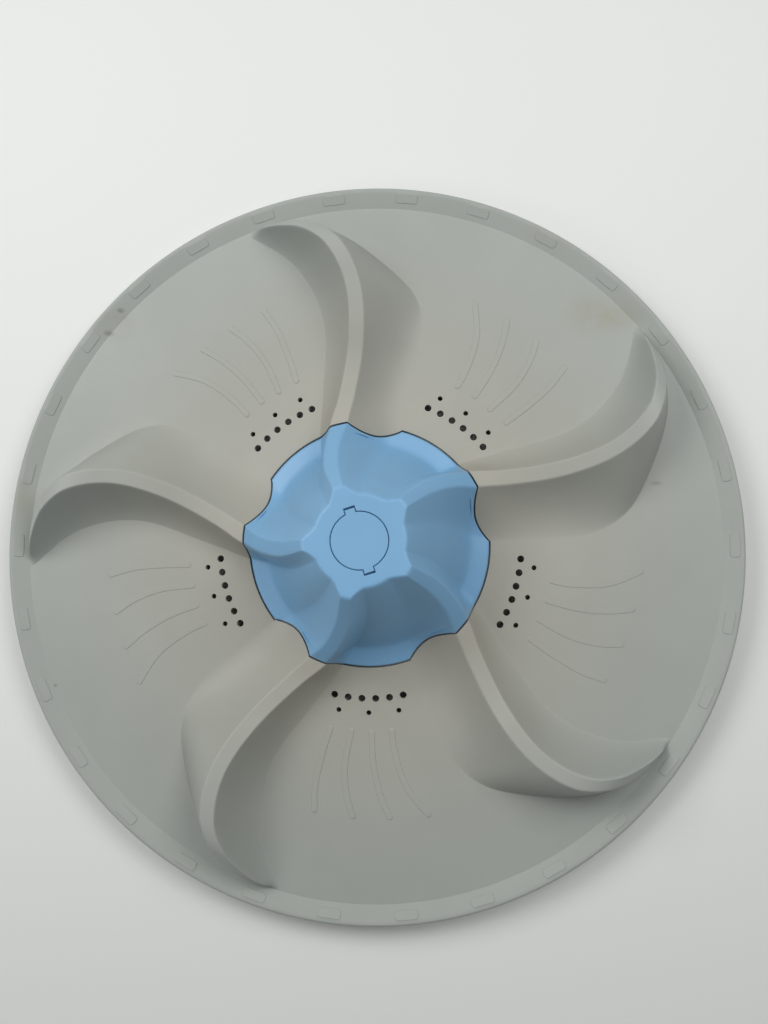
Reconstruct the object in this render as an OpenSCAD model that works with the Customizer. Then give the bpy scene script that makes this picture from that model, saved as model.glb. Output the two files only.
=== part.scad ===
// Wash plate agitator of a top-loading washing machine.
// A grey moulded disc with five hollow swept vanes, a lobed blue cap that
// carries the vanes on up to the centre, a bayonet plug in the cap, and a
// splined metal insert moulded into the hub for the drive shaft.
// +Z is the spin axis. The origin is under the centre, on the surface that
// the disc's skirt stands on. Angles named here run clockwise, seen from
// above, from the middle of a group of drain holes.

/* [Wash plate] */
// Diameter over the rim
plate_d = 380; // [370:1:390]
// Height of the rim's top edge above the skirt's foot
rim_h = 16; // [15:0.5:20]
// Wall thickness of the moulding
wall = 3; // [2.5:0.1:3.2]
// Thickness of the skirt round the rim
skirt_t = 2.6; // [2:0.1:3.5]
// Radius of the crease between the floor and the raised rim band
crease_r = 180; // [178:0.5:182]

/* [Drain holes] */
// Diameter of the six holes in a group's arc
arc_hole_d = 3.6; // [2:0.1:4.5]
// Diameter of the three holes outside the arc
outer_hole_d = 2.6; // [2:0.1:4]
// Radius of the six-hole arc
arc_hole_r = 78.3; // [76:0.1:82]
// Radius of the three-hole arc
outer_hole_r = 85.5; // [84:0.1:90]
// Angle between neighbours in the six-hole arc
arc_hole_pitch = 5.2; // [4:0.1:5.5]

/* [Cap] */
// Largest radius of the lobed cap
cap_r = 62.5; // [62:0.1:63]
// How deep the notch beside each vane bites into the cap's outline
cap_notch = 5.9; // [4:0.1:6.5]
// Wall thickness of the cap, and depth of its seat in the plate
cap_t = 2.4; // [2:0.1:2.6]
// Height of the cap's flat top above the rim's top edge
cap_rise = 57.2; // [55:0.1:60]
// Radius of the flat top between its points
star_r = 21.5; // [20:0.1:24]
// How far the flat top's five points reach past that radius
star_point = 4.9; // [3:0.1:6]
// Gap left all round the cap
cap_gap = 0.6; // [0.3:0.05:0.8]

/* [Plug] */
// Diameter of the plug's face
plug_d = 26; // [24:0.5:27]
// Radius that the plug's two lugs reach
lug_r = 15.5; // [14.5:0.1:16]
// Width of a lug
lug_w = 4.6; // [3:0.1:5]
// Gap left round the plug
plug_gap = 0.35; // [0.2:0.05:0.5]
// Gap beside each lug, on its anticlockwise side
lug_gap = 1.5; // [0.5:0.1:1.8]
// Clockwise angle of the first lug from the first hole group
lug_angle = 162; // [0:1:359]

/* [Hub] */
// Radius of the well that the shaft's bolt goes down
well_r = 15; // [14.5:0.1:15.5]
// Height of the tower that carries the cap
tower_h = 60; // [58:0.5:62]
// Outer diameter of the metal insert
insert_d = 25; // [24:0.5:26]
// Height of the insert's foot above the skirt's foot
insert_z = 4; // [3:0.5:5]
// Length of the insert
insert_len = 30; // [28:0.5:32]
// Diameter of the plain lead-in bore for the drive shaft
shaft_d = 17.2; // [16.5:0.1:17.5]
// Length of that plain bore
lead_in = 7; // [6:0.5:9]
// Diameter over the tips of the insert's teeth
tooth_tip_d = 15; // [14.5:0.1:15.2]
// Number of teeth in the insert
teeth = 11; // [10:1:14]
// Diameter of the bolt hole in the insert's web
bolt_d = 8.4; // [6:0.1:9]
// Thickness of that web
web = 5; // [4:0.5:7]

/* [Hidden] */
$fn = 96;
sectors = 5;
step = 360 / sectors;
// The first hole group lies towards the viewer, along -Y
hole_dir = -90;
plate_r = plate_d / 2;
// Where a vane's tip runs out and the rim band's crease begins, as a share of
// the plate's radius, and how far that crease lies below the rim's top edge
tip_x = 0.947;
crease_drop = 3.6;
crease_z = rim_h - crease_drop;

// One vane, station by station, from the cap's edge to the hooked tip:
// radius as a share of the plate's radius, then the clockwise angles of the
// hollow face's foot, the crest's two edges and the back slope's foot, and
// the crest's height above the rim's top edge.
VANE = [
    [0.33, 11.5, 18.3, 27.0, 51.9, 14.5],
    [0.40, 16.5, 24.7, 31.0, 52.0, 12.4],
    [0.50, 20.9, 29.5, 34.2, 52.0, 13.4],
    [0.60, 23.8, 31.4, 35.2, 51.0, 18.4],
    [0.70, 23.7, 31.1, 34.3, 46.8, 22.2],
    [0.80, 21.3, 28.1, 31.3, 37.8, 24.8],
    [0.86, 18.8, 24.2, 27.5, 32.4, 21.8],
    [0.90, 16.9, 20.4, 23.8, 28.2, 14.0],
    [0.93, 15.4, 17.0, 19.6, 23.2, 5.0],
    [tip_x, 14.6, 14.7, 14.8, 14.9, -crease_drop],
];
// The plate's floor: share of its radius, height above the rim's top edge
FLOOR = [[0.28, -2.7], [0.33, -2.8], [0.43, -4.6], [0.60, -4.9], [0.80, -4.2], [tip_x, -crease_drop]];
// The cap's ribs, as in VANE: 0 is the flat top's edge, 1 is the cap's edge
RIB = [
    [0, -6, 8.3, 18.4, 36],
    [0.35, -3, 8.2, 18.4, 39],
    [0.7, 4, 13, 21.8, 45.5],
    [1, 11.5, 18.3, 27.0, 51.9],
];
// The cap's pockets between its ribs: the same place from 0 to 1, and the
// share of the cap's height there, a straight wall that flares at its foot
POCKET = [[0, 1], [0.25, 0.72], [0.5, 0.43], [0.75, 0.145], [0.86, 0.045], [1, 0]];
// Section of a vane: how its hollow face scoops and its back slope fades
scoop = 1.7;
slope_hub = 1.6;
slope_rim = 1.1;
// The cap's ribs droop this much, its steep walls are thicker by this share,
// and its notches are this round
rib_droop = 1.5;
wall_swell = 0.7;
notch_round = 0.8;
// Rings of the plate's skin above and below, as shares of its radius
RINGS = [0.355, 0.385, 0.42, 0.46, 0.50, 0.54, 0.58, 0.62, 0.66, 0.70, 0.74, 0.78,
         0.81, 0.84, 0.865, 0.885, 0.90, 0.915, 0.925, 0.935, 0.942];
RINGS_BELOW = [0.942, 0.925, 0.90, 0.865, 0.81, 0.74, 0.66, 0.58, 0.50, 0.42, 0.37];
// Rings of the cap, from its flat top's edge to its own edge
CAP_RINGS = [0, 0.08, 0.2, 0.35, 0.5, 0.65, 0.8, 0.9, 1];
// Columns of a sector: 0 to 1 floor, to 2 hollow face, to 3 crest, to 4 back
COLUMNS = [0, 0.13, 0.26, 0.38, 0.5, 0.62, 0.74, 0.87, 1, 1.3, 1.55, 1.8, 2, 2.5, 3, 3.15, 3.35, 3.6, 3.8];

// The cap sits in a seat this deep, whose inner edge the hub's flange laps
seat_drop = cap_t + 0.35;
seat_r = 50;
seat_z = rim_h + FLOOR[0][1] - seat_drop;
// How far exact and faceted surfaces run into one another
lap = 4;
// Snap hooks under the cap, which catch below slots through its seat
hook_r = 57.5;
hook_w = 8;
hook_t = 1.8;
hook_barb = 1.4;
hook_gap = 0.3;
hook_angle = -4;
// Cone under the cap, from the seat up to the tower
cone_foot_r = 45;
cone_top = 44;
// Rounded outer edge of the rim, and the shallow pads on the rim band
rim_round = 1.5;
band_top_r = plate_r - 2 * rim_round;
band_top_z = rim_h - 0.3;
mark_r = 184.8 / 190 * plate_r;
mark_w = 4.2;
mark_h = 0.35;
mark_angle = 3.7;
marks_per_sector = 6;
// Underside: radial ribs and ring ribs, and the height of their feet
rib_t = 2;
rib_foot = 5;
RADIAL_RIBS = [-17, 31];
RING_RIBS = [104, 142];
boss_r = insert_d / 2 + 6;
tower_r = well_r + 3.6;
// The cap's spigot in the tower, and the ledge that the plug's face rests on
spigot_len = 6;
spigot_gap = 0.3;
spigot_t = 1.7;
plug_t = 3;
plug_skirt_r = 10.9;
plug_skirt_t = 1.8;
plug_skirt_len = 8;
ledge_r = plug_skirt_r + 0.3;
ledge_t = 3.5;
insert_top = insert_z + insert_len;
cap_top = rim_h + cap_rise;

// Smooth curve through column c of a table at x, level beyond its ends
function tangent(t, i, c) =
    let (a = max(i - 1, 0), b = min(i + 1, len(t) - 1)) (t[b][c] - t[a][c]) / (t[b][0] - t[a][0]);
function span(t, x, i = 0) = i < len(t) - 2 && x >= t[i + 1][0] ? span(t, x, i + 1) : i;
function smooth(t, x, c) =
    x <= t[0][0] ? t[0][c] : x >= t[len(t) - 1][0] ? t[len(t) - 1][c] :
    let (i = span(t, x), h = t[i + 1][0] - t[i][0], s = (x - t[i][0]) / h)
    (2 * s^3 - 3 * s^2 + 1) * t[i][c] + (s^3 - 2 * s^2 + s) * h * tangent(t, i, c)
    + (3 * s^2 - 2 * s^3) * t[i + 1][c] + (s^3 - s^2) * h * tangent(t, i + 1, c);
function lerp(a, b, t) = a + (b - a) * t;

// A point at a radius, a clockwise angle and a height
function at(r, a, z) = [r * cos(hole_dir - a), r * sin(hole_dir - a), z];

// Feet and crest edges of a vane at one radius, drawn in by a wall
function edges(t, x, inset = 0) =
    [smooth(t, x, 1) + inset, smooth(t, x, 2) + inset, smooth(t, x, 3) - inset, smooth(t, x, 4) - inset];
function column_angle(v, e) =
    v < 1 ? lerp(e[3] - step, e[0], v) : v < 2 ? lerp(e[0], e[1], v - 1) :
    v < 3 ? lerp(e[1], e[2], v - 2) : lerp(e[2], e[3], v - 3);
// Share of the vane's height at a column
function rise(v, fade) = v < 1 ? 0 : v < 2 ? (v - 1)^scoop : v < 3 ? 1 : (4 - v)^fade;
function fade(x) = lerp(slope_hub, slope_rim, min(max((x - 0.33) / 0.37, 0), 1));

// The plate's skin at a share of its radius, upper or lower face
function floor_z(x) = rim_h + lookup(x, FLOOR);
function crest_z(x) = max(rim_h + smooth(VANE, x, 5), floor_z(x));
function wall_inset(x) = min(1, (crest_z(x) - floor_z(x)) / 12) * 0.75 * wall / (x * plate_r) * 180 / PI;
function skin_point(x, v, k, below) =
    let (e = edges(VANE, x, below ? wall_inset(x) : 0),
         z = lerp(floor_z(x), crest_z(x), rise(v, fade(x))))
    at(x * plate_r, column_angle(v, e) + k * step, z - (below ? wall : 0));

// The cap's outline: round, with a notch over each vane's back slope
function outline_r(v) = cap_r - (v < 3 ? 0 : cap_notch * sin(180 * (v - 3))^notch_round);
function outline_point(v, k, drop, grow = 0) =
    let (r = outline_r(v), x = r / plate_r, e = edges(VANE, 0.33))
    at(r + grow, column_angle(v, e) + k * step,
       lerp(floor_z(x), crest_z(0.33), rise(v, slope_hub)) - drop);

// The cap's skin: u is 0 at the flat top's edge and 1 at the cap's edge
function cap_point(u, v, k, below) =
    let (e = edges(RIB, u), inner = star_r + star_point * rise(v, slope_hub), outer = outline_r(v) - cap_gap,
         foot = floor_z(outline_r(v) / plate_r), crest = crest_z(0.33),
         pocket = lerp(foot, cap_top, smooth(POCKET, u, 1)),
         rib = lerp(cap_top, crest, u) - rib_droop * sin(180 * u),
         z = lerp(pocket, rib, rise(v, slope_hub)))
    at(lerp(inner, outer, u), column_angle(v, e) + k * step,
       z - (below ? cap_t * (1 + wall_swell * sin(180 * u)) : 0));

// A closed skin: rings of points, in the order of the section's outline
module ring_solid(rings) {
    n = len(rings[0]);
    m = len(rings);
    points = [for (ring = rings) each ring];
    faces = [for (i = [0:m - 1], j = [0:n - 1])
        let (a = i * n, b = ((i + 1) % m) * n, q = (j + 1) % n)
        each [[a + q, a + j, b + j], [a + q, b + j, b + q]]];
    polyhedron(points, faces);
}

// A plain ring of points that keeps the columns of the vanes
function plain_ring(t, x, r, z) =
    [for (k = [0:sectors - 1], v = COLUMNS) at(r, column_angle(v, edges(t, x)) + k * step, z)];
function skin_ring(x, below) = [for (k = [0:sectors - 1], v = COLUMNS) skin_point(x, v, k, below)];
function cap_ring(u, below) = [for (k = [0:sectors - 1], v = COLUMNS) cap_point(u, v, k, below)];
function outline_ring(drop, grow = 0) =
    [for (k = [0:sectors - 1], v = COLUMNS) outline_point(v, k, drop, grow)];

module each_sector() {
    for (k = [0:sectors - 1]) rotate(-k * step) children();
}

// The disc's skin with its hollow vanes, from the cap's seat to the rim band
module plate_skin() {
    ring_solid([
        outline_ring(0),
        for (x = RINGS) skin_ring(x, false),
        plain_ring(VANE, tip_x, crease_r, crease_z),
        plain_ring(VANE, tip_x, crease_r + lap, crease_z - 0.4 * wall),
        plain_ring(VANE, tip_x, crease_r + lap, crease_z - 0.6 * wall),
        plain_ring(VANE, tip_x, crease_r, crease_z - wall),
        for (x = RINGS_BELOW) skin_ring(x, true),
        outline_ring(seat_drop + wall, 0.5),
        plain_ring(VANE, 0.33, seat_r, seat_z - wall),
        plain_ring(VANE, 0.33, seat_r, seat_z),
        outline_ring(seat_drop),
    ]);
}

// The raised band round the floor and the skirt that hangs from it
module rim_band() {
    sunk = 0.2 * wall;
    rotate_extrude() polygon([
        [crease_r - lap, crease_z - sunk],
        [crease_r, crease_z - 0.05],
        [band_top_r, band_top_z],
        for (t = [0:22.5:90])
            [plate_r - rim_round * (1 - sin(t)), rim_h - rim_round * (1 - cos(t))],
        [plate_r, 0],
        [plate_r - skirt_t, 0],
        [plate_r - skirt_t, rim_h - rim_round - wall],
        [crease_r, crease_z - wall + sunk / 2],
        [crease_r - lap, crease_z - wall + sunk],
    ]);
}

// Shallow raised pads at even steps along the rim band
function band_z(r) = lerp(crease_z, band_top_z, (r - crease_r) / (band_top_r - crease_r));
module rim_marks() {
    pitch = step / marks_per_sector;
    inner = mark_r - mark_w / 2;
    outer = mark_r + mark_w / 2;
    for (i = [0:sectors * marks_per_sector - 1])
        rotate(hole_dir - (i + 0.5) * pitch - mark_angle / 2) rotate_extrude(angle = mark_angle) polygon([
            [inner, band_z(inner) - mark_h], [outer, band_z(outer) - mark_h],
            [outer, band_z(outer) + mark_h], [inner, band_z(inner) + mark_h]]);
}

// The hub: a cone up to the tower under the cap, and the boss round the insert
module hub() {
    // The flange laps the skin's seat from just above and just below
    cover = 0.4;
    rotate_extrude() polygon([
        [insert_d / 2, insert_z],
        [boss_r, insert_z],
        [boss_r, cone_top - 2 * wall],
        [cone_foot_r - wall - 1, seat_z - wall - cover],
        [seat_r + lap, seat_z - wall - cover],
        [seat_r + lap, seat_z + cover],
        [cone_foot_r, seat_z + cover],
        [tower_r, cone_top],
        [tower_r, tower_h],
        [well_r, tower_h],
        [well_r, insert_top],
        [insert_d / 2, insert_top],
    ]);
}

// Height of the middle of the skin at a share of the radius and an angle
function skin_middle(x, a) =
    let (e = edges(VANE, x), b = a > e[3] ? a - step : a,
         w = b < e[0] ? 0 : b < e[1] ? ((b - e[0]) / (e[1] - e[0]))^scoop : b < e[2] ? 1 :
             ((e[3] - b) / (e[3] - e[2]))^fade(x))
    lerp(floor_z(x), crest_z(x), w) - wall / 2 - 0.4 * wall * sin(180 * w);

// A rib under the disc: its top edge runs inside the skin above it
module radial_rib(a) {
    rotate(hole_dir - a) rotate([90, 0, 0]) linear_extrude(rib_t, center = true) polygon([
        [boss_r - 1, rib_foot],
        [boss_r - 1, cone_top - 1.4 * wall],
        [cone_foot_r - 2, seat_z - wall / 2],
        [outline_r(0), seat_z - wall / 2],
        for (x = [0.36:0.03:0.92]) [x * plate_r, skin_middle(x, a)],
        [crease_r, crease_z - wall / 2],
        [plate_r - skirt_t / 2, crease_z - wall / 2],
        [plate_r - skirt_t / 2, rib_foot],
    ]);
}

// A rib along a circle, from one vane's back slope to the next one's hollow
module ring_rib(r) {
    e = edges(VANE, r / plate_r);
    rotate(hole_dir - e[0] - 1) rotate_extrude(angle = step + e[0] - e[3] + 2)
        translate([r - rib_t / 2, rib_foot]) square([rib_t, floor_z(r / plate_r) - wall / 2 - rib_foot]);
}

// One group of drain holes: six in an arc and three outside it
module drain_holes() {
    for (i = [0:5]) hole(arc_hole_r, (i - 2.5) * arc_hole_pitch, arc_hole_d);
    for (i = [-1:1]) hole(outer_hole_r, i * 2 * arc_hole_pitch, outer_hole_d);
}
module hole(r, a, d) {
    rotate(hole_dir - a) translate([r, 0, seat_z - 2 * wall]) cylinder(d = d, h = 4 * wall, $fn = 24);
}

// A slot for a snap hook, with room for the hook to bend inwards
module hook_slot() {
    rotate(hole_dir - hook_angle)
        translate([hook_r - hook_t / 2 - hook_barb, -hook_w / 2 - hook_gap, seat_z - 2 * wall])
            cube([hook_t + hook_barb + hook_gap, hook_w + 2 * hook_gap, 3 * wall]);
}

module wash_plate() color([0.62, 0.64, 0.61]) difference() {
    union() {
        plate_skin();
        rim_band();
        rim_marks();
        difference() {
            hub();
            insert_body();
        }
        each_sector() {
            for (a = RADIAL_RIBS) radial_rib(a);
            for (r = RING_RIBS) ring_rib(r);
        }
    }
    each_sector() {
        drain_holes();
        hook_slot();
    }
}

// The outside of the metal insert, with two grooves that key it in the hub
module insert_body() {
    groove = 1.2;
    pitch = insert_len / 5;
    translate([0, 0, insert_z]) rotate_extrude() polygon([
        [0, 0],
        [insert_d / 2, 0],
        for (i = [1, 3]) each [
            [insert_d / 2, i * pitch], [insert_d / 2 - groove, i * pitch + groove],
            [insert_d / 2 - groove, (i + 1) * pitch - groove], [insert_d / 2, (i + 1) * pitch]],
        [insert_d / 2, insert_len],
        [0, insert_len],
    ]);
}

// The toothed socket: a round hole at the tooth tips, and a gap between teeth
module socket_outline() {
    root_r = shaft_d / 2 - 0.2;
    gap = PI * tooth_tip_d / teeth / 2;
    circle(d = tooth_tip_d);
    for (i = [0:teeth - 1]) rotate(i * 360 / teeth) polygon([
        [0, -gap * 0.6], [root_r, -gap * 0.4], [root_r, gap * 0.4], [0, gap * 0.6]]);
}

module hub_insert() color([0.72, 0.73, 0.74]) difference() {
    insert_body();
    translate([0, 0, insert_z - 1]) cylinder(d = shaft_d, h = lead_in + 1);
    translate([0, 0, insert_z + lead_in - 1]) linear_extrude(insert_len - lead_in - web + 1) socket_outline();
    translate([0, 0, insert_top - web - 1]) cylinder(d = bolt_d, h = web + 2);
}

// The cap's skin, a thin shell that carries the vanes up to its flat top
module cap_skin() {
    core_r = 5;
    ring_solid([
        plain_ring(RIB, 0, core_r, cap_top),
        for (u = CAP_RINGS) cap_ring(u, false),
        for (i = [len(CAP_RINGS) - 1:-1:0]) cap_ring(CAP_RINGS[i], true),
        plain_ring(RIB, 0, core_r, cap_top - cap_t),
    ]);
}

// The ring under the flat top: the plug's ledge, the seat and the spigot
module cap_collar() {
    spigot_r = well_r - spigot_gap;
    ledge_foot = cap_top - plug_t - ledge_t;
    rotate_extrude() polygon([
        [ledge_r, cap_top - cap_t / 2],
        [ledge_r, ledge_foot],
        [spigot_r - spigot_t, ledge_foot - spigot_r + spigot_t + ledge_r],
        [spigot_r - spigot_t, tower_h - spigot_len],
        [spigot_r, tower_h - spigot_len],
        [spigot_r, tower_h],
        [tower_r, tower_h],
        [tower_r, cap_top - cap_t / 2],
    ]);
}

// A snap hook: a leg in its slot, with a barb that catches under the seat
module cap_hook() {
    top = seat_z + 2.6;
    catch_z = seat_z - wall - 0.2;
    foot = catch_z - 2.4;
    rotate(hole_dir - hook_angle) translate([hook_r, hook_w / 2, 0]) rotate([90, 0, 0]) linear_extrude(hook_w)
        polygon([
            [-hook_t / 2, top], [hook_t / 2, top], [hook_t / 2, catch_z],
            [hook_t / 2 + hook_barb, catch_z - 0.3], [hook_t / 2, foot], [-hook_t / 2, foot]]);
}

// Room for the plug's face and for its lugs, with a gap to prise them out
module plug_room() {
    translate([0, 0, cap_top - plug_t]) cylinder(d = plug_d + 2 * plug_gap, h = plug_t + 1);
    for (i = [0, 1]) rotate(hole_dir - lug_angle + i * 180)
        translate([0, -lug_w / 2 - plug_gap, cap_top - plug_t])
            cube([lug_r + plug_gap, lug_w + plug_gap + lug_gap, plug_t + 1]);
}

module centre_cap() color([0.44, 0.62, 0.80]) difference() {
    union() {
        cap_skin();
        cap_collar();
        each_sector() cap_hook();
    }
    plug_room();
}

module screw_plug() color([0.44, 0.62, 0.80]) {
    translate([0, 0, cap_top - plug_t]) difference() {
        union() {
            cylinder(d = plug_d, h = plug_t);
            for (i = [0, 1]) rotate(hole_dir - lug_angle + i * 180)
                translate([0, -lug_w / 2, 0]) cube([lug_r, lug_w, plug_t]);
            translate([0, 0, -plug_skirt_len]) cylinder(r = plug_skirt_r, h = plug_skirt_len + 1);
        }
        translate([0, 0, -plug_skirt_len - 1])
            cylinder(r = plug_skirt_r - plug_skirt_t, h = plug_skirt_len + 1);
    }
}

wash_plate();
hub_insert();
centre_cap();
screw_plug();
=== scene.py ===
import bmesh
import bpy
import numpy as np
from mathutils import Matrix, Vector


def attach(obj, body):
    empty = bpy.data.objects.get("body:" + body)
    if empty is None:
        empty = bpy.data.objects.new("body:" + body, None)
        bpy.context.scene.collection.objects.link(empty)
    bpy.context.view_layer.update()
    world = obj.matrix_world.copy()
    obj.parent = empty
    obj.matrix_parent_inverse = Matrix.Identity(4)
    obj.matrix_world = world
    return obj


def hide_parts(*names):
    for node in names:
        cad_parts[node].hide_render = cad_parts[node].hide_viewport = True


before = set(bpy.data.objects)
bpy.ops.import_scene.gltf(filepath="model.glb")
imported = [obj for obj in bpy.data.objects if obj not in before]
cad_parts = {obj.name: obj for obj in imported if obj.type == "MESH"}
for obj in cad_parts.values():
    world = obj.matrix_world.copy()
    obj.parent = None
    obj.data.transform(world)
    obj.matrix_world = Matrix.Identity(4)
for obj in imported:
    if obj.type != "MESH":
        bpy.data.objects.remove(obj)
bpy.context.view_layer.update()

# The wash plate: one injection moulding in grey polypropylene, a floor with
# five hollow swept vanes inside a raised rim band with a skirt. Its skin is
# lofted ring by ring through the stations of one vane.
MM = 0.001
SECTORS = 5
STEP = 360 / SECTORS
HOLE_DIR = -90
PLATE_R = 190
RIM_H = 16
WALL = 3
SKIRT_T = 2.6
CREASE_R = 180
CREASE_Z = RIM_H - 3.6
TIP_X = 0.947
# Radius as a share of the plate's radius, angles of the hollow face's foot,
# of the crest's two edges and of the back slope's foot, and the crest's
# height above the rim
VANE = (
    (0.33, 11.5, 18.3, 27.0, 51.9, 14.5),
    (0.40, 16.5, 24.7, 31.0, 52.0, 12.4),
    (0.50, 20.9, 29.5, 34.2, 52.0, 13.4),
    (0.60, 23.8, 31.4, 35.2, 51.0, 18.4),
    (0.70, 23.7, 31.1, 34.3, 46.8, 22.2),
    (0.80, 21.3, 28.1, 31.3, 37.8, 24.8),
    (0.86, 18.8, 24.2, 27.5, 32.4, 21.8),
    (0.90, 16.5, 20.4, 23.8, 28.2, 14.0),
    (0.93, 14.9, 17.2, 19.7, 23.2, 5.0),
    (TIP_X, 14.4, 16.0, 16.9, 17.8, -3.6),
)
FLOOR = ((0.28, -2.7), (0.33, -2.8), (0.43, -4.6), (0.60, -4.9), (0.80, -4.2), (TIP_X, -3.6))
# How the hollow face scoops up from a crisp foot, and how the back slope
# fades: a long soft foot near the hub, and a crisp one near the rim
SCOOP = 2.4
SCOOP_FOOT = 0.45
FADE = ((0.33, 1.6), (0.42, 1.9), (0.54, 1.9), (0.64, 1.45), (0.70, 1.12), (0.78, 1.03))
# The cap's seat in the plate
CAP_R = 62.5
CAP_NOTCH = 5.9
CAP_T = 2.4
SEAT_R = 50
SEAT_DROP = CAP_T + 0.35
SEAT_Z = RIM_H + FLOOR[0][1] - SEAT_DROP
# Columns of one sector: 0 to 1 is floor, to 2 the hollow face, to 3 the
# crest and to 4 the back slope; they crowd together at the rounded edges
COLUMNS = np.concatenate((
    np.linspace(0, 1, 22)[:-1],
    [1, 1.02, 1.05, 1.09, 1.14, 1.2, 1.27, 1.35, 1.44, 1.53, 1.62, 1.71, 1.79, 1.86],
    [1.91, 1.945, 1.97, 1.99, 2.015, 2.045, 2.08, 2.12, 2.2, 2.35, 2.5, 2.65, 2.8],
    [2.88, 2.92, 2.955, 2.985, 3.006, 3.018, 3.032, 3.055, 3.09, 3.15, 3.22, 3.3],
    [3.4, 3.5, 3.6, 3.7, 3.8, 3.88, 3.94, 3.98],
))


def through(table, column, x):
    """The smooth curve through one column of a table, level beyond its ends."""
    t = np.array(table, dtype=float)
    at, value = t[:, 0], t[:, column]
    last = len(t) - 1
    low, high = np.maximum(np.arange(last + 1) - 1, 0), np.minimum(np.arange(last + 1) + 1, last)
    slope = (value[high] - value[low]) / (at[high] - at[low])
    i = np.clip(np.searchsorted(at, x, side="right") - 1, 0, last - 1)
    h = at[i + 1] - at[i]
    s = np.clip((x - at[i]) / h, 0, 1)
    return ((2 * s**3 - 3 * s**2 + 1) * value[i] + (s**3 - 2 * s**2 + s) * h * slope[i]
            + (3 * s**2 - 2 * s**3) * value[i + 1] + (s**3 - s**2) * h * slope[i + 1])


def between(a, b, t):
    """The value a share t of the way from a to b."""
    return a + (b - a) * t


def edges(table, x, inset=0):
    """Feet and crest edges of a vane or rib, drawn in by a wall if it is the inside."""
    return [through(table, c, x) + inset * side for c, side in ((1, 1), (2, 1), (3, -1), (4, -1))]


def column_angle(v, e):
    """The clockwise angle of column v."""
    stops = [e[3] - STEP] + e
    part = np.clip(np.floor(v), 0, 3).astype(int)
    low = np.choose(part, stops[:4])
    high = np.choose(part, stops[1:])
    return between(low, high, v - part)


def scooped(t):
    """The share of a hollow face's height at a share t of the way up it."""
    return SCOOP_FOOT * t + (1 - SCOOP_FOOT) * t**SCOOP


def lift(table, x, a, fade, inset=0):
    """The share of the vane's height that the surface has at a place."""
    e = edges(table, x, inset)
    a = e[3] - STEP + (a - e[3] + STEP) % STEP
    hollow = scooped(np.clip((a - e[0]) / (e[1] - e[0]), 0, 1))
    back = np.clip((e[3] - a) / (e[3] - e[2]), 0, 1) ** fade
    return np.where(a < e[1], hollow, np.where(a <= e[2], 1, back))


def floor_z(x):
    """Height of the plate's floor."""
    return RIM_H + through(FLOOR, 1, x)


def crest_z(x):
    """Height of a vane's crest."""
    return np.maximum(RIM_H + through(VANE, 5, x), floor_z(x))


def skin_z(x, a, inset=0):
    """Height of the plate's upper face, with its edges still sharp."""
    return between(floor_z(x), crest_z(x), lift(VANE, x, a, through(FADE, 1, x), inset))


def rounded(height, u, a, r, reach, width, **more):
    """A height averaged over a small disc, which rounds the edges in it."""
    count = 30
    total = 0
    for k in range(count):
        d = reach * np.sqrt((k + 0.5) / count)
        turn = 2.39996 * k
        total = total + height(u + d * np.cos(turn) / width, a + np.degrees(d * np.sin(turn) / r), **more)
    return total / count


def at(r, a, z):
    """Points at radii, clockwise angles and heights."""
    turn = np.radians(HOLE_DIR - a)
    return np.stack(np.broadcast_arrays(r * np.cos(turn), r * np.sin(turn), z), axis=-1)


def all_round(r, a, z):
    """One sector's ring of points repeated for every sector."""
    return np.concatenate([at(r, a + k * STEP, z) for k in range(SECTORS)])


def mesh_piece(name, points, faces):
    """A new piece from points in millimetres, with its faces turned outwards."""
    mesh = bpy.data.meshes.new(name)
    mesh.from_pydata((np.array(points) * MM).tolist(), [], [list(map(int, f)) for f in faces])
    form = bmesh.new()
    form.from_mesh(mesh)
    bmesh.ops.remove_doubles(form, verts=form.verts, dist=1e-7)
    bmesh.ops.dissolve_degenerate(form, edges=form.edges, dist=1e-7)
    bmesh.ops.recalc_face_normals(form, faces=form.faces)
    form.to_mesh(mesh)
    form.free()
    piece = bpy.data.objects.new(name, mesh)
    bpy.context.scene.collection.objects.link(piece)
    return piece


def loft(name, rings, capped=False):
    """A solid through rings of points: closed on itself, or capped at both ends."""
    n, m = len(rings[0]), len(rings)
    j = np.arange(n)
    q = (j + 1) % n
    faces = []
    for i in range(m - 1 if capped else m):
        a, b = i * n, (i + 1) % m * n
        faces.extend(np.stack((a + j, a + q, b + q, b + j), axis=1).tolist())
    if capped:
        faces += [j[::-1].tolist(), (j + (m - 1) * n).tolist()]
    return mesh_piece(name, np.concatenate(rings), faces)


def turned(name, outline, sides=256):
    """A solid turned about the spin axis from a closed outline of (r, z) points."""
    a = np.arange(sides) * 360 / sides
    return loft(name, [at(np.full(sides, float(r)), a, z) for r, z in outline])


def settled(piece):
    """The piece with its modifiers turned into its plain mesh."""
    shape = piece.evaluated_get(bpy.context.evaluated_depsgraph_get())
    piece.data = bpy.data.meshes.new_from_object(shape)
    piece.modifiers.clear()
    return piece


def combine(piece, other, operation):
    """Joins another solid to the piece, or cuts it away, and deletes the other."""
    change = piece.modifiers.new("combine", "BOOLEAN")
    change.operation = operation
    change.solver = "MANIFOLD"
    change.object = other
    settled(piece)
    bpy.data.objects.remove(other)


def outline_r(v):
    """The cap's outline: round, with a notch over each vane's back slope."""
    return CAP_R - np.where(v < 3, 0, CAP_NOTCH * np.sin(np.pi * np.clip(v - 3, 0, 1)) ** 0.8)


def outline_ring(drop, grow=0.0):
    """Points round the cap's outline, this far below the plate's upper face."""
    r = outline_r(COLUMNS)
    a = column_angle(COLUMNS, edges(VANE, 0.33 + 0 * r))
    return all_round(r + grow, a, rounded(skin_z, r / PLATE_R, a, r, 0.8, PLATE_R) - drop)


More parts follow.
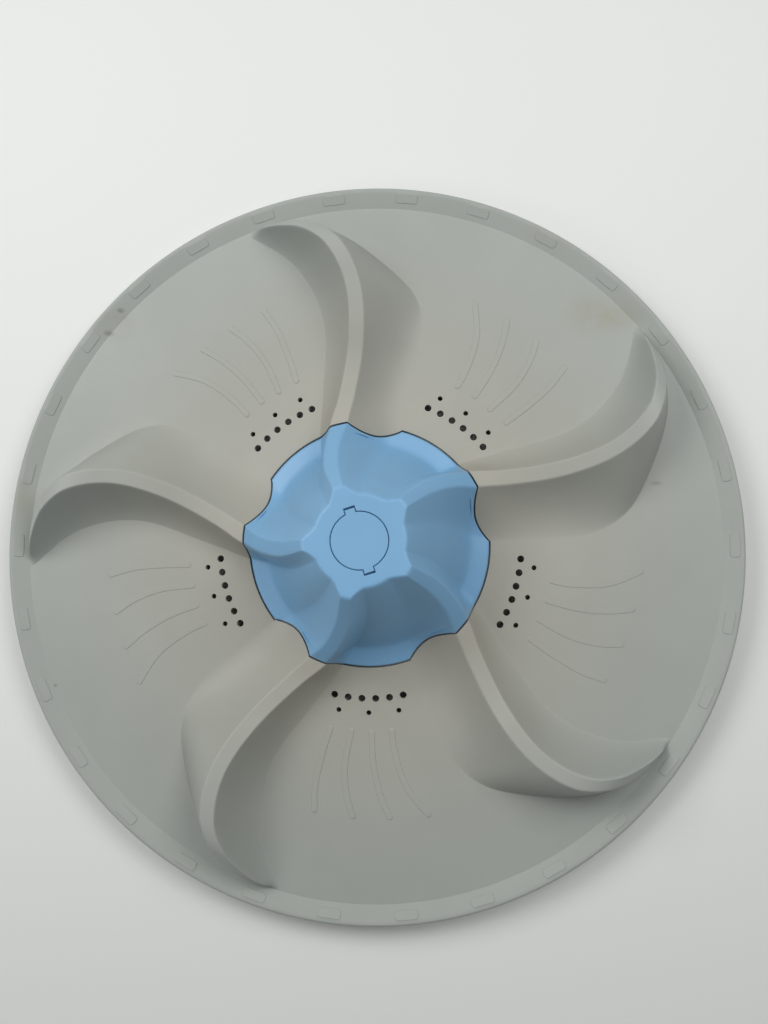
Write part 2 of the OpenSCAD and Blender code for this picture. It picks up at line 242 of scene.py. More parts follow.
def skin_ring(r):
    """Points of the upper face at radius r, which may differ from column to column."""
    r = r + 0 * COLUMNS
    a = column_angle(COLUMNS, edges(VANE, r / PLATE_R))
    return all_round(r, a, rounded(skin_z, r / PLATE_R, a, r, 0.8, PLATE_R))


def under_ring(x):
    """Points of the lower face, with the vanes' faces drawn in by the wall."""
    x = x + 0 * COLUMNS
    tall = np.clip((crest_z(x) - floor_z(x)) / 12, 0, 1)
    inset = np.degrees(tall * 0.75 * WALL / (x * PLATE_R))
    a = column_angle(COLUMNS, edges(VANE, x, inset))
    return all_round(x * PLATE_R, a, skin_z(x, a, inset) - WALL)


def plain_ring(r, z, x):
    """A level circle that keeps the columns of the vanes at x."""
    return all_round(r + 0 * COLUMNS, column_angle(COLUMNS, edges(VANE, x + 0 * COLUMNS)), z)


JOIN_R = 67.5
LAP = 4
inner_r = outline_r(COLUMNS) + 0.35
radii = np.concatenate((np.linspace(JOIN_R, 165, 78), np.linspace(165.8, CREASE_R - 0.6, 20)))
plate = loft("wash_plate_moulding", [
    outline_ring(0.35), outline_ring(0.13, 0.05), outline_ring(0.03, 0.15),
    *[skin_ring(between(inner_r, JOIN_R, t)) for t in np.linspace(0, 1, 9)[:-1]],
    *[skin_ring(r) for r in radii],
    plain_ring(CREASE_R, CREASE_Z, TIP_X),
    plain_ring(CREASE_R + LAP, CREASE_Z - 0.4 * WALL, TIP_X),
    plain_ring(CREASE_R + LAP, CREASE_Z - 0.6 * WALL, TIP_X),
    plain_ring(CREASE_R, CREASE_Z - WALL, TIP_X),
    *[under_ring(x) for x in np.linspace(0.942, 0.37, 48)],
    outline_ring(SEAT_DROP + WALL, 0.5),
    plain_ring(SEAT_R, SEAT_Z - WALL, 0.33),
    plain_ring(SEAT_R, SEAT_Z, 0.33),
    outline_ring(SEAT_DROP),
])

# The rim band and skirt, turned as one ring that laps the skin at the crease
ROUND = 1.5
BAND_TOP = (PLATE_R - 2 * ROUND, RIM_H - 0.3)
SUNK = 0.2 * WALL
quarter = np.radians(np.linspace(0, 90, 9))
combine(plate, turned("rim", [
    (CREASE_R - LAP, CREASE_Z - SUNK),
    (CREASE_R, CREASE_Z - 0.05),
    BAND_TOP,
    *[(PLATE_R - ROUND * (1 - np.sin(t)), RIM_H - ROUND * (1 - np.cos(t))) for t in quarter],
    (PLATE_R, 0.3),
    (PLATE_R - 0.3, 0),
    (PLATE_R - SKIRT_T + 0.3, 0),
    (PLATE_R - SKIRT_T, 0.3),
    (PLATE_R - SKIRT_T, RIM_H - ROUND - WALL),
    (CREASE_R, CREASE_Z - WALL + SUNK / 2),
    (CREASE_R - LAP, CREASE_Z - WALL + SUNK),
], sides=360), "UNION")

# The hub: a cone up to the tower that carries the cap, and the boss that is
# moulded round the metal insert and into its two keying grooves
INSERT_R = 12.5
INSERT_Z = 4
INSERT_LEN = 30
INSERT_TOP = INSERT_Z + INSERT_LEN
KEY = 1.2
BOSS_R = INSERT_R + 6
WELL_R = 15
TOWER_R = WELL_R + 3.6
TOWER_H = 60
CONE_R = 45
CONE_TOP = 44
COVER = 0.4
keys = []
for i in (3, 1):
    low, high = INSERT_Z + i * INSERT_LEN / 5, INSERT_Z + (i + 1) * INSERT_LEN / 5
    keys += [(INSERT_R, high), (INSERT_R - KEY, high - KEY), (INSERT_R - KEY, low + KEY), (INSERT_R, low)]
combine(plate, turned("hub", [
    (INSERT_R, INSERT_Z),
    (BOSS_R - 0.5, INSERT_Z),
    (BOSS_R, INSERT_Z + 0.5),
    (BOSS_R, CONE_TOP - 2 * WALL),
    (CONE_R - WALL - 1, SEAT_Z - WALL - COVER),
    (SEAT_R + LAP, SEAT_Z - WALL - COVER),
    (SEAT_R + LAP, SEAT_Z + COVER),
    (CONE_R, SEAT_Z + COVER),
    (TOWER_R, CONE_TOP),
    (TOWER_R, TOWER_H),
    (WELL_R, TOWER_H),
    (WELL_R, INSERT_TOP),
    (INSERT_R, INSERT_TOP),
    *keys,
], sides=192), "UNION")


def put(tree, kind, inputs=None, **settings):
    """Adds a node to a tree, with its settings and with values or links for its inputs."""
    made = tree.nodes.new(kind)
    for key, value in settings.items():
        setattr(made, key, value)
    for socket, value in (inputs or {}).items():
        if isinstance(value, bpy.types.NodeSocket):
            tree.links.new(value, made.inputs[socket])
        else:
            made.inputs[socket].default_value = value
    return made


def tree_with(name, sockets):
    """An empty geometry tree with named inputs, and its input and output nodes."""
    tree = bpy.data.node_groups.new(name, "GeometryNodeTree")
    tree.interface.new_socket("Shape", in_out="OUTPUT", socket_type="NodeSocketGeometry")
    for socket, kind in sockets.items():
        tree.interface.new_socket(socket, in_out="INPUT", socket_type="NodeSocket" + kind)
    return tree, put(tree, "NodeGroupInput").outputs


def finish_tree(tree, shape, material):
    """Ends a tree with plain meshes in the piece's material."""
    whole = put(tree, "GeometryNodeRealizeInstances", {"Geometry": shape})
    dressed = put(tree, "GeometryNodeSetMaterial", {"Geometry": whole.outputs[0], "Material": material})
    put(tree, "NodeGroupOutput", {0: dressed.outputs[0]})


def run_tree(piece, tree, **inputs):
    """Runs a tree on a piece with values for its named inputs, and keeps the mesh."""
    change = piece.modifiers.new(tree.name, "NODES")
    change.node_group = tree
    for socket in tree.interface.items_tree:
        if socket.name.replace(" ", "_").lower() in inputs:
            change[socket.identifier] = inputs[socket.name.replace(" ", "_").lower()]
    return settled(piece)


# A tree that sets out copies of one item round the spin axis, in groups, as
# the toolmaker indexes a mould on a rotary table
index_tree, given = tree_with("index_round_axis", {
    "Item": "Geometry", "Groups": "Int", "Each": "Int", "Pitch": "Float", "First": "Float",
    "Material": "Material"})
count = put(index_tree, "ShaderNodeMath", {0: given["Groups"], 1: given["Each"]}, operation="MULTIPLY")
number = put(index_tree, "GeometryNodeInputIndex")
share = put(index_tree, "ShaderNodeMath", {0: number.outputs[0], 1: given["Each"]}, operation="DIVIDE")
group = put(index_tree, "ShaderNodeMath", {0: share.outputs[0]}, operation="FLOOR")
step = put(index_tree, "ShaderNodeMath", {0: 360.0, 1: given["Groups"]}, operation="DIVIDE")
place = put(index_tree, "ShaderNodeMath", {0: number.outputs[0], 1: given["Each"]}, operation="MODULO")
middle = put(index_tree, "ShaderNodeMath", {0: given["Each"], 1: 0.5, 2: -0.5}, operation="MULTIPLY_ADD")
aside = put(index_tree, "ShaderNodeMath", {0: place.outputs[0], 1: middle.outputs[0]}, operation="SUBTRACT")
turn = put(index_tree, "ShaderNodeMath", {0: aside.outputs[0], 1: given["Pitch"]}, operation="MULTIPLY")
turn = put(index_tree, "ShaderNodeMath",
           {0: group.outputs[0], 1: step.outputs[0], 2: turn.outputs[0]}, operation="MULTIPLY_ADD")
turn = put(index_tree, "ShaderNodeMath", {0: given["First"], 1: turn.outputs[0]}, operation="SUBTRACT")
turn = put(index_tree, "ShaderNodeMath", {0: turn.outputs[0]}, operation="RADIANS")
spin = put(index_tree, "ShaderNodeCombineXYZ", {"Z": turn.outputs[0]})
spots = put(index_tree, "GeometryNodePoints", {"Count": count.outputs[0]})
copies = put(index_tree, "GeometryNodeInstanceOnPoints",
             {"Points": spots.outputs[0], "Instance": given["Item"], "Rotation": spin.outputs[0]})
finish_tree(index_tree, copies.outputs[0], given["Material"])


def index_round(item, each=1, pitch=0.0, first=0.0, groups=SECTORS):
    """Copies an item made on the +X axis round the spin axis, in groups."""
    return run_tree(item, index_tree, groups=groups, each=each, pitch=float(pitch), first=HOLE_DIR - float(first))


def block(name, x, y, stages):
    """A block between x and y limits, grown a little at some heights: (z, grow) pairs."""
    rings = []
    for z, grow in stages:
        x0, x1, y0, y1 = x[0] - grow, x[1] + grow, y[0] - grow, y[1] + grow
        rings.append(np.array([(x0, y0, z), (x1, y0, z), (x1, y1, z), (x0, y1, z)], dtype=float))
    return loft(name, rings, capped=True)


# The ribs under the disc: two from the hub to the skirt in each sector, and
# two arcs between one vane and the next, all with their feet in one plane
RIB_T = 2
RIB_FOOT = 5


def skin_middle(x, a):
    """Height of the middle of the skin, which a rib's top edge runs in."""
    w = lift(VANE, x, a, through(FADE, 1, x))
    return between(floor_z(x), crest_z(x), w) - WALL / 2 - 0.4 * WALL * np.sin(np.pi * w)


for a in (-17, 31):
    top = [(BOSS_R - 1, CONE_TOP - 1.4 * WALL), (CONE_R - 2, SEAT_Z - WALL / 2), (CAP_R, SEAT_Z - WALL / 2)]
    for x in np.arange(0.36, 0.925, 0.01):
        beside = np.degrees(RIB_T / 2 / (x * PLATE_R)) * np.array((-1, 0, 1))
        top.append((x * PLATE_R, float(min(skin_middle(x, a + beside)))))
    top += [(CREASE_R, CREASE_Z - WALL / 2), (PLATE_R - SKIRT_T / 2, CREASE_Z - WALL / 2)]
    side = [(BOSS_R - 1, RIB_FOOT), *top, (PLATE_R - SKIRT_T / 2, RIB_FOOT)]
    rib = loft("rib", [np.array([(r, y, z) for r, z in side]) for y in (-RIB_T / 2, RIB_T / 2)], capped=True)
    combine(plate, index_round(rib, first=a), "UNION")
for r in (104, 142):
    e = edges(VANE, r / PLATE_R)
    arc = np.linspace(e[3] - STEP - 1, e[0] + 1, 24)
    top = floor_z(r / PLATE_R) - WALL / 2
    section = [(r - RIB_T / 2, RIB_FOOT), (r + RIB_T / 2, RIB_FOOT), (r + RIB_T / 2, top), (r - RIB_T / 2, top)]
    rings = [at(np.array([p[0] for p in section]), a + HOLE_DIR, np.array([p[1] for p in section])) for a in arc]
    combine(plate, index_round(loft("ring_rib", rings, capped=True)), "UNION")

# Shallow rounded pads along the rim band, six to a sector
PAD_R = 184.9
PAD_LEN = 11.8
PAD_W = 4.2
PAD_H = 0.35


def band_z(r):
    """Height of the rim band."""
    return between(CREASE_Z - 0.05, BAND_TOP[1], (r - CREASE_R) / (BAND_TOP[0] - CREASE_R))


def pad_ring(shrink, rise):
    """Outline of a pad on the rim band, with round corners."""
    corner = 1.4 - shrink
    points = []
    for k, (sx, sy) in enumerate(((1, 1), (-1, 1), (-1, -1), (1, -1))):
        for t in np.radians(90 * k + np.linspace(0, 90, 6)):
            points.append((sx * (PAD_W / 2 - 1.4) + corner * np.cos(t), sy * (PAD_LEN / 2 - 1.4) + corner * np.sin(t)))
    w, s = np.array(points).T
    r = PAD_R + w
    return at(r, np.degrees(s / r) + HOLE_DIR, band_z(r) + rise)


pad = loft("pad", [pad_ring(0, -0.6), pad_ring(0, PAD_H - 0.12), pad_ring(0.15, PAD_H)], capped=True)
combine(plate, index_round(pad, each=6, pitch=STEP / 6, first=36), "UNION")

# Four curved beads on the floor of each sector, outside the drain holes: low
# strips with round ends. Each row is (share of the radius, angle).
BEADS = (
    ((0.739, -12.9), (0.648, -8.9), (0.554, -7.2), (0.494, -7.2)),
    ((0.733, -4.7), (0.661, -2.6), (0.580, -1.2), (0.495, -0.9)),
    ((0.731, 3.1), (0.663, 5.2), (0.583, 6.2), (0.492, 5.3)),
    ((0.730, 11.5), (0.656, 12.6), (0.574, 12.6), (0.496, 11.9)),
)
BEAD_W = 3.0
BEAD_H = 0.28
bead_tree, given = tree_with("sweep_bead", {
    "Path": "Geometry", "Width": "Float", "Height": "Float", "Material": "Material"})
path = put(bead_tree, "GeometryNodeMeshToCurve", {"Mesh": given["Path"]})
path = put(bead_tree, "GeometryNodeSetCurveNormal", {0: path.outputs[0]}, mode="Z_UP")
along = put(bead_tree, "GeometryNodeSplineParameter")
whole = put(bead_tree, "GeometryNodeSplineLength")
rest = put(bead_tree, "ShaderNodeMath",
           {0: whole.outputs["Length"], 1: along.outputs["Length"]}, operation="SUBTRACT")
near = put(bead_tree, "ShaderNodeMath", {0: rest.outputs[0], 1: along.outputs["Length"]}, operation="MINIMUM")
half = put(bead_tree, "ShaderNodeMath", {0: given["Width"], 1: 0.5}, operation="MULTIPLY")
part = put(bead_tree, "ShaderNodeMath",
           {0: near.outputs[0], 1: half.outputs[0]}, operation="DIVIDE", use_clamp=True)
left = put(bead_tree, "ShaderNodeMath", {0: 1.0, 1: part.outputs[0]}, operation="SUBTRACT")
left = put(bead_tree, "ShaderNodeMath", {0: left.outputs[0], 1: 2.0}, operation="POWER")
left = put(bead_tree, "ShaderNodeMath", {0: 1.0, 1: left.outputs[0]}, operation="SUBTRACT")
girth = put(bead_tree, "ShaderNodeMath", {0: left.outputs[0]}, operation="SQRT")
girth = put(bead_tree, "ShaderNodeMath", {0: girth.outputs[0], 1: 0.08}, operation="MAXIMUM")
tall = put(bead_tree, "ShaderNodeMath", {0: given["Height"], 1: 2.0}, operation="MULTIPLY")
section = put(bead_tree, "GeometryNodeCurvePrimitiveQuadrilateral", {"Width": given["Width"], "Height": tall.outputs[0]})
section = put(bead_tree, "GeometryNodeFilletCurve", {"Curve": section.outputs[0], "Radius": 0.3 * MM, "Count": 4},
              mode="POLY")
strip = put(bead_tree, "GeometryNodeCurveToMesh",
            {"Curve": path.outputs[0], "Profile Curve": section.outputs[0], "Scale": girth.outputs[0],
             "Fill Caps": True})
finish_tree(bead_tree, strip.outputs[0], given["Material"])

beads = []
for bead in BEADS:
    places = [(i, *stop) for i, stop in enumerate(bead)]
    t = 3 * np.concatenate((np.linspace(0, 0.03, 7), np.linspace(0.05, 0.95, 34), np.linspace(0.97, 1, 7)))
    x, a = through(places, 1, t), through(places, 2, t)
    line = at(x * PLATE_R, a + HOLE_DIR, floor_z(x))
    mesh = bpy.data.meshes.new("bead_path")
    mesh.from_pydata((line * MM).tolist(), [(i, i + 1) for i in range(len(line) - 1)], [])
    strip = bpy.data.objects.new("bead", mesh)
    bpy.context.scene.collection.objects.link(strip)
    run_tree(strip, bead_tree, width=BEAD_W * MM, height=BEAD_H * MM)
    beads.append(index_round(strip))

# Drain holes in each sector, six in an arc and three outside it, and the
# slots in the cap's seat that its hooks catch in
HOLE_SIDES = 32


def hole(r, d):
    """A round cutter through the floor."""
    t = np.radians(np.arange(HOLE_SIDES) * 360 / HOLE_SIDES)
    rings = [np.stack((r + d / 2 * np.cos(t), d / 2 * np.sin(t), z + 0 * t), axis=-1) for z in (2, 20)]
    return loft("hole", rings, capped=True)


HOOK_R = 57.5
HOOK_W = 8
HOOK_T = 1.8
HOOK_BARB = 1.4
HOOK_GAP = 0.3
HOOK_ANGLE = -4
combine(plate, index_round(hole(78.3, 3.6), each=6, pitch=5.2), "DIFFERENCE")
combine(plate, index_round(hole(85.5, 2.6), each=3, pitch=10.4), "DIFFERENCE")
slot = block("slot", (HOOK_R - HOOK_T / 2 - HOOK_BARB, HOOK_R + HOOK_T / 2 + HOOK_GAP),
             (-HOOK_W / 2 - HOOK_GAP, HOOK_W / 2 + HOOK_GAP), ((SEAT_Z - 2 * WALL, 0), (SEAT_Z + WALL, 0)))
combine(plate, index_round(slot, first=HOOK_ANGLE), "DIFFERENCE")

# The beads go in last and as they are, sunk into the floor: a cut along their
# edges would leave slivers that show as dark ticks
for strip in beads:
    whole = bmesh.new()
    whole.from_mesh(plate.data)
    whole.from_mesh(strip.data)
    whole.to_mesh(plate.data)
    whole.free()
    bpy.data.objects.remove(strip)


def linear(code):
    """A colour written as sRGB hex, as the linear values that shaders take."""
    channels = [int(code[i:i + 2], 16) / 255 for i in (1, 3, 5)]
    return tuple(c / 12.92 if c <= 0.04045 else ((c + 0.055) / 1.055) ** 2.4 for c in channels) + (1.0,)


def mixed(tree, share, first, second):
    """A colour that goes from the first to the second; 6, 7 and 2 are the colour sockets."""
    return put(tree, "ShaderNodeMix", {"Factor": share, 6: first, 7: second}, data_type="RGBA").outputs[2]


def dress(piece, material, crisp=28):
    """Gives a piece its one material, and smooths all but its sharp edges.

    The normals are weighted by area, so that slivers beside a cut don't show.
    """
    piece.data.materials.clear()
    piece.data.materials.append(material)
    piece.data.polygons.foreach_set("material_index", [0] * len(piece.data.polygons))
    piece.data.shade_smooth()
    piece.data.set_sharp_from_angle(angle=np.radians(crisp))
    even = piece.modifiers.new("even", "WEIGHTED_NORMAL")
    even.keep_sharp = True
    settled(piece)


# Moulded grey polypropylene: satin, with a fine spark-eroded grain, a little
# warmer round the hub, and with the yellow-brown stains of use near the rim
plate_plastic = bpy.data.materials.new("moulded_grey_polypropylene")
plate_plastic.use_nodes = True
tree = plate_plastic.node_tree
tree.nodes.clear()
spot = put(tree, "ShaderNodeTexCoord").outputs["Object"]
cloud = put(tree, "ShaderNodeTexNoise", {"Vector": spot, "Scale": 16.0, "Detail": 4.0, "Roughness": 0.6})
flat = put(tree, "ShaderNodeVectorMath", {0: spot, 1: (1.0, 1.0, 0.0)}, operation="MULTIPLY")
reach = put(tree, "ShaderNodeVectorMath", {0: flat.outputs[0]}, operation="LENGTH")
outward = put(tree, "ShaderNodeMapRange", {"Value": reach.outputs["Value"], "From Min": 0.06, "From Max": 0.17})
base = mixed(tree, outward.outputs[0], linear("#ABA89C"), linear("#A4A9A3"))
tint = put(tree, "ShaderNodeMapRange", {"Value": cloud.outputs[0], "From Min": 0.3, "From Max": 0.7,
                                       "To Min": 0.96, "To Max": 1.03})
shade = put(tree, "ShaderNodeVectorMath", {0: base, "Scale": tint.outputs[0]}, operation="SCALE")
colour = shade.outputs[0]
ragged = put(tree, "ShaderNodeTexNoise", {"Vector": spot, "Scale": 70.0, "Detail": 5.0, "Roughness": 0.65})
blotch = put(tree, "ShaderNodeMapRange", {"Value": ragged.outputs[0], "From Min": 0.35, "From Max": 0.6,
                                         "To Min": 0.35, "To Max": 1.0})
# Each stain: where it is, how far it reaches, its colour and how strong it is
for x, y, wide, high, stain, strength in (
    (116, 121, 15, 12, "#9A927A", 0.42), (131, 119, 11, 9, "#9A927A", 0.34), (93, 161, 12, 9, "#A09C8C", 0.20),
    (-137, 118, 12, 10, "#8F8A78", 0.25), (-134, 126, 2.2, 1.4, "#5E5A4E", 0.55),
    (-140.5, 114, 2.8, 1.6, "#5E5A4E", 0.5), (-183, 24, 5, 12, "#968F7C", 0.35),
    (-164, -73, 1.0, 0.8, "#4F4B42", 0.7), (147, 32, 3.4, 1.2, "#77756B", 0.45),
):
    away = put(tree, "ShaderNodeVectorMath", {0: flat.outputs[0], 1: (x * MM, y * MM, 0.0)}, operation="SUBTRACT")
    squashed = put(tree, "ShaderNodeVectorMath",
                   {0: away.outputs[0], 1: (1000 / wide, 1000 / high, 0.0)}, operation="MULTIPLY")
    far = put(tree, "ShaderNodeVectorMath", {0: squashed.outputs[0]}, operation="LENGTH")
    near = put(tree, "ShaderNodeMapRange", {"Value": far.outputs["Value"], "From Min": 0.25, "From Max": 1.3,
                                           "To Min": strength, "To Max": 0.0}, interpolation_type="SMOOTHSTEP")
    there = put(tree, "ShaderNodeMath", {0: near.outputs[0], 1: blotch.outputs[0]}, operation="MULTIPLY")
    colour = mixed(tree, there.outputs[0], colour, linear(stain))
grain = put(tree, "ShaderNodeTexNoise", {"Vector": spot, "Scale": 1400.0, "Detail": 2.0})
relief = put(tree, "ShaderNodeBump", {"Height": grain.outputs[0], "Strength": 0.25, "Distance": 0.00006})
surface = put(tree, "ShaderNodeBsdfPrincipled", {"Base Color": colour, "Roughness": 0.5, "IOR": 1.49,
                                                "Normal": relief.outputs[0]})
put(tree, "ShaderNodeOutputMaterial", {"Surface": surface.outputs[0]})

dress(plate, plate_plastic)
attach(plate, "root")
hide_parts("wash_plate")

# The hub insert: a toothed socket of sintered steel, moulded into the hub
insert_steel = bpy.data.materials.new("turned_steel")
insert_steel.use_nodes = True
tree = insert_steel.node_tree
tree.nodes.clear()
spot = put(tree, "ShaderNodeTexCoord").outputs["Object"]
squash = put(tree, "ShaderNodeMapping", {"Vector": spot, "Scale": (1.0, 1.0, 30.0)})
marks = put(tree, "ShaderNodeTexNoise", {"Vector": squash.outputs[0], "Scale": 120.0, "Detail": 3.0})
dull = put(tree, "ShaderNodeMapRange", {"Value": marks.outputs[0], "To Min": 0.28, "To Max": 0.5})
relief = put(tree, "ShaderNodeBump", {"Height": marks.outputs[0], "Strength": 0.3, "Distance": 0.00004})
surface = put(tree, "ShaderNodeBsdfPrincipled", {"Base Color": linear("#B4B2AC"), "Metallic": 1.0,
                                                "Roughness": dull.outputs[0], "Normal": relief.outputs[0]})
put(tree, "ShaderNodeOutputMaterial", {"Surface": surface.outputs[0]})
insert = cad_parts["hub_insert"]
for place in insert.material_slots:
    place.material = insert_steel

# The centre cap: a thin moulding in light blue polypropylene that carries the
# vanes up to a flat five-pointed top. It snaps into the plate's seat with
# five hooks, and its collar stands on the hub's tower.
CAP_TOP = RIM_H + 57.2
CAP_GAP = 0.8
STAR_R = 21.5
STAR_POINT = 4.9
RIB_DROOP = 1.5
RIB = (
    (0, -6, 8.3, 18.4, 36),
    (0.35, -3, 8.2, 18.4, 39),
    (0.7, 4, 13, 21.8, 45.5),
    (1, 11.5, 18.3, 27.0, 51.9),
)
POCKET = ((0, 1), (0.25, 0.72), (0.5, 0.43), (0.75, 0.145), (0.86, 0.045), (1, 0))
# Where the steep pockets turn out into a flatter hem: at this share of the
# way, which is at one radius in the pockets and at another by the ribs
HEM = 0.86
HEM_POCKET_R = 52.3
HEM_RIB_R = 57
CAP_FADE = 1.6
CAP_SOFT = 1.3


def cap_z(u, a):
    """Height of the cap's skin: u is 0 at the flat top's edge and 1 at the cap's edge."""
    u = np.clip(u, 0, 1)
    foot = floor_z(CAP_R / PLATE_R)
    pocket = between(foot, CAP_TOP, through(POCKET, 1, u))
    rib = between(CAP_TOP, crest_z(0.33), u) - RIB_DROOP * np.sin(np.pi * u)
    return between(pocket, rib, lift(RIB, u, a, CAP_FADE))


def rise(v):
    """The share of a rib's height at column v."""
    hollow = scooped(np.clip(v - 1, 0, 1))
    return np.where(v < 2, hollow, np.where(v < 3, 1, np.clip(4 - v, 0, 1) ** CAP_FADE))


def cap_ring(u, drop=0.0, inside=False):
    """Points round the cap at u, on its upper face or its inside."""
    inner, outer = STAR_R + STAR_POINT * rise(COLUMNS), outline_r(COLUMNS) - CAP_GAP
    beside = np.clip(np.minimum(COLUMNS - 1, 4 - COLUMNS), 0, 1)
    hem = between(HEM_POCKET_R, HEM_RIB_R, beside**2 * (3 - 2 * beside))
    low, high, start, end = (inner, hem, 0, HEM) if u < HEM else (hem, outer, HEM, 1)
    pace = (high - low) / (end - start)
    r = low + pace * (u - start)
    a = column_angle(COLUMNS, edges(RIB, np.clip(u, 0, 1) + 0 * COLUMNS))
    z = rounded(cap_z, u, a, r, CAP_SOFT, pace)
    wall = CAP_T * (1 + 0.7 * np.sin(np.pi * np.clip(u, 0, 1)))
    return all_round(r, a, z - (wall if inside else drop))


def cap_disc(r, z):
    """A level ring within the cap's flat top."""
    return all_round(r + 0 * COLUMNS, column_angle(COLUMNS, edges(RIB, 0 * COLUMNS)), z)


steps = np.concatenate(([-0.1, -0.06, -0.04, -0.025, -0.01, 0.005], np.arange(0.02, 0.985, 0.0135), [0.985]))
cap = loft("centre_cap_moulding", [
    cap_disc(5, CAP_TOP),
    *[cap_ring(u) for u in steps],
    cap_ring(0.992, 0.05), cap_ring(0.997, 0.18), cap_ring(1, 0.45),
    *[cap_ring(u, inside=True) for u in np.linspace(1, 0, 26)],
    cap_disc(5, CAP_TOP - CAP_T),
])

# The collar under the flat top, with the ledge that the plug rests on and the
# spigot that goes down into the tower
PLUG_T = 3
PLUG_R = 13
PLUG_GAP = 0.35
SKIRT_R = 10.9
LEDGE_R = SKIRT_R + 0.3
SPIGOT_R = WELL_R - 0.3
LEDGE_FOOT = CAP_TOP - PLUG_T - 3.5
combine(cap, turned("collar", [
    (LEDGE_R, CAP_TOP - CAP_T / 2),
    (LEDGE_R, LEDGE_FOOT),
    (SPIGOT_R - 1.7, LEDGE_FOOT - SPIGOT_R + 1.7 + LEDGE_R),
    (SPIGOT_R - 1.7, TOWER_H - 6),
    (SPIGOT_R, TOWER_H - 6),
    (SPIGOT_R, TOWER_H),
    (TOWER_R, TOWER_H),
    (TOWER_R, CAP_TOP - CAP_T / 2),
], sides=192), "UNION")
catch_z = SEAT_Z - WALL - 0.2
leg = [(-HOOK_T / 2, SEAT_Z + 2.6), (HOOK_T / 2, SEAT_Z + 2.6), (HOOK_T / 2, catch_z),
       (HOOK_T / 2 + HOOK_BARB, catch_z - 0.3), (HOOK_T / 2, catch_z - 2.4), (-HOOK_T / 2, catch_z - 2.4)]
hook = loft("hook", [np.array([(HOOK_R + r, y, z) for r, z in leg]) for y in (-HOOK_W / 2, HOOK_W / 2)], capped=True)
combine(cap, index_round(hook, first=HOOK_ANGLE), "UNION")

# Room in the cap for the plug's face and its lugs, with a gap past each lug's
# end to prise the plug out; the edges are broken by a quarter millimetre
LUG_R = 14.9
LUG_W = 4.6
LUG_GAP = 0.85
LUG_ANGLE = 162
BREAK = 0.25
room_r = PLUG_R + PLUG_GAP
floor_of_room = CAP_TOP - PLUG_T
combine(cap, turned("plug_room", [
    (0, floor_of_room), (room_r, floor_of_room), (room_r, CAP_TOP - BREAK),
    (room_r + BREAK, CAP_TOP), (room_r + BREAK, CAP_TOP + 2), (0, CAP_TOP + 2),
], sides=192), "DIFFERENCE")
bay = block("lug_bay", (5, LUG_R + LUG_GAP), (-LUG_W / 2 - PLUG_GAP, LUG_W / 2 + PLUG_GAP),
            ((floor_of_room, 0), (CAP_TOP - BREAK, 0), (CAP_TOP, BREAK), (CAP_TOP + 2, BREAK)))
combine(cap, index_round(bay, first=LUG_ANGLE, groups=2), "DIFFERENCE")

# Moulded light blue polypropylene: satin and clean, because wash water keeps
# polishing it
cap_plastic = bpy.data.materials.new("moulded_blue_polypropylene")
cap_plastic.use_nodes = True
tree = cap_plastic.node_tree
tree.nodes.clear()
spot = put(tree, "ShaderNodeTexCoord").outputs["Object"]
cloud = put(tree, "ShaderNodeTexNoise", {"Vector": spot, "Scale": 30.0, "Detail": 3.0})
tint = put(tree, "ShaderNodeMapRange", {"Value": cloud.outputs[0], "From Min": 0.3, "From Max": 0.7,
                                       "To Min": 0.97, "To Max": 1.03})
shade = put(tree, "ShaderNodeVectorMath", {0: linear("#7FB0D6")[:3], "Scale": tint.outputs[0]}, operation="SCALE")
grain = put(tree, "ShaderNodeTexNoise", {"Vector": spot, "Scale": 1400.0, "Detail": 2.0})
relief = put(tree, "ShaderNodeBump", {"Height": grain.outputs[0], "Strength": 0.2, "Distance": 0.00005})
surface = put(tree, "ShaderNodeBsdfPrincipled", {"Base Color": shade.outputs[0], "Roughness": 0.42, "IOR": 1.49,
                                                "Normal": relief.outputs[0]})
put(tree, "ShaderNodeOutputMaterial", {"Surface": surface.outputs[0]})
dress(cap, cap_plastic)
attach(cap, "root")
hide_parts("centre_cap")

# The screw plug: a round blue cover over the bolt's well, held by two lugs,
# with a short skirt underneath
plug = turned("screw_plug_moulding", [
    (0, floor_of_room), (PLUG_R, floor_of_room), (PLUG_R, CAP_TOP - BREAK), (PLUG_R - BREAK, CAP_TOP), (0, CAP_TOP),
], sides=192)
lug = block("lug", (5, LUG_R - BREAK), (-LUG_W / 2 + BREAK, LUG_W / 2 - BREAK),
            ((floor_of_room, BREAK), (CAP_TOP - BREAK, BREAK), (CAP_TOP - 0.02, 0)))
combine(plug, index_round(lug, first=LUG_ANGLE, groups=2), "UNION")
combine(plug, turned("skirt", [
    (SKIRT_R - 1.8, floor_of_room - 8), (SKIRT_R, floor_of_room - 8), (SKIRT_R, CAP_TOP - 1.5),
    (SKIRT_R - 1.8, CAP_TOP - 1.5),
], sides=192), "UNION")
dress(plug, cap_plastic)
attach(plug, "root")
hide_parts("screw_plug")

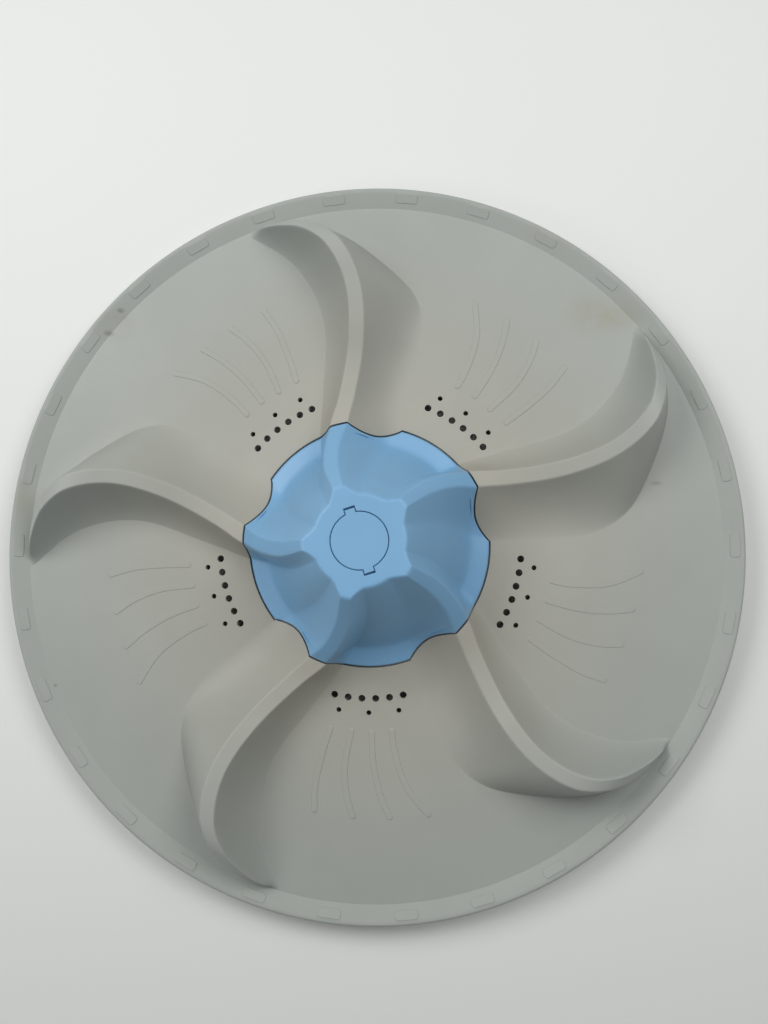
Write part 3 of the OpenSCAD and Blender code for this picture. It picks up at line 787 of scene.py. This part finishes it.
# The room: a plain pale floor under soft daylight from the far side, which
# comes from the left and the right, with the camera where the photograph was
# taken from
floor = mesh_piece("floor", [(-3000, -3000, 0), (3000, -3000, 0), (3000, 3000, 0), (-3000, 3000, 0)], [(0, 1, 2, 3)])
paper = bpy.data.materials.new("white_paper")
paper.use_nodes = True
paper.node_tree.nodes.clear()
surface = put(paper.node_tree, "ShaderNodeBsdfPrincipled", {"Base Color": linear("#E9EBE7"), "Roughness": 0.8})
put(paper.node_tree, "ShaderNodeOutputMaterial", {"Surface": surface.outputs[0]})
floor.data.materials.append(paper)

scene = bpy.context.scene
scene.view_settings.view_transform = "Standard"
scene.world = bpy.data.worlds.new("soft_sky")
scene.world.use_nodes = True
sky = scene.world.node_tree
sky.nodes.clear()
glow = put(sky, "ShaderNodeBackground", {"Color": linear("#F4F6F8"), "Strength": 0.18})
put(sky, "ShaderNodeOutputWorld", {"Surface": glow.outputs[0]})

for name, place, size, power in (
    ("window_left", (-0.48, 0.32, 0.66), 0.45, 3.0),
    ("window_right", (0.42, 0.30, 0.70), 0.45, 2.6),
    ("window_far", (0.00, 0.60, 0.75), 0.45, 0.9),
    ("room_left", (-0.90, -0.40, 0.85), 0.6, 1.6),
    ("room_right", (0.80, -0.60, 0.80), 0.6, 0.5),
):
    lamp_data = bpy.data.lights.new(name, "AREA")
    lamp_data.shape = "DISK"
    lamp_data.size = size
    lamp_data.energy = power
    lamp = bpy.data.objects.new(name, lamp_data)
    lamp.location = place
    lamp.rotation_euler = (-lamp.location).to_track_quat("-Z", "Y").to_euler()
    scene.collection.objects.link(lamp)

# Camera: found from the drain holes and the rim in the photograph, as a turn
# (axis times angle) and a place in plate radii
FOCAL_PX = 844.9
FRAME_PX = 1024
SENSOR = 36
turn = Vector((-0.07643599, 0.05522496, 0.0))
shift = Vector((-0.04145628, 0.09023872, 2.28556507))
flip = Matrix.Diagonal((1, -1, -1))
view = Matrix.Rotation(turn.length, 3, turn.normalized())
facing = (flip @ view @ flip).transposed()
camera_data = bpy.data.cameras.new("camera")
camera_data.sensor_fit = "VERTICAL"
camera_data.sensor_height = SENSOR
camera_data.lens = FOCAL_PX / FRAME_PX * SENSOR
camera_data.clip_start = 0.01
camera = bpy.data.objects.new("camera", camera_data)
place = -(facing @ (flip @ shift)) * PLATE_R * MM + Vector((0, 0, RIM_H * MM))
camera.matrix_world = Matrix.Translation(place) @ facing.to_4x4()
scene.collection.objects.link(camera)
scene.camera = camera
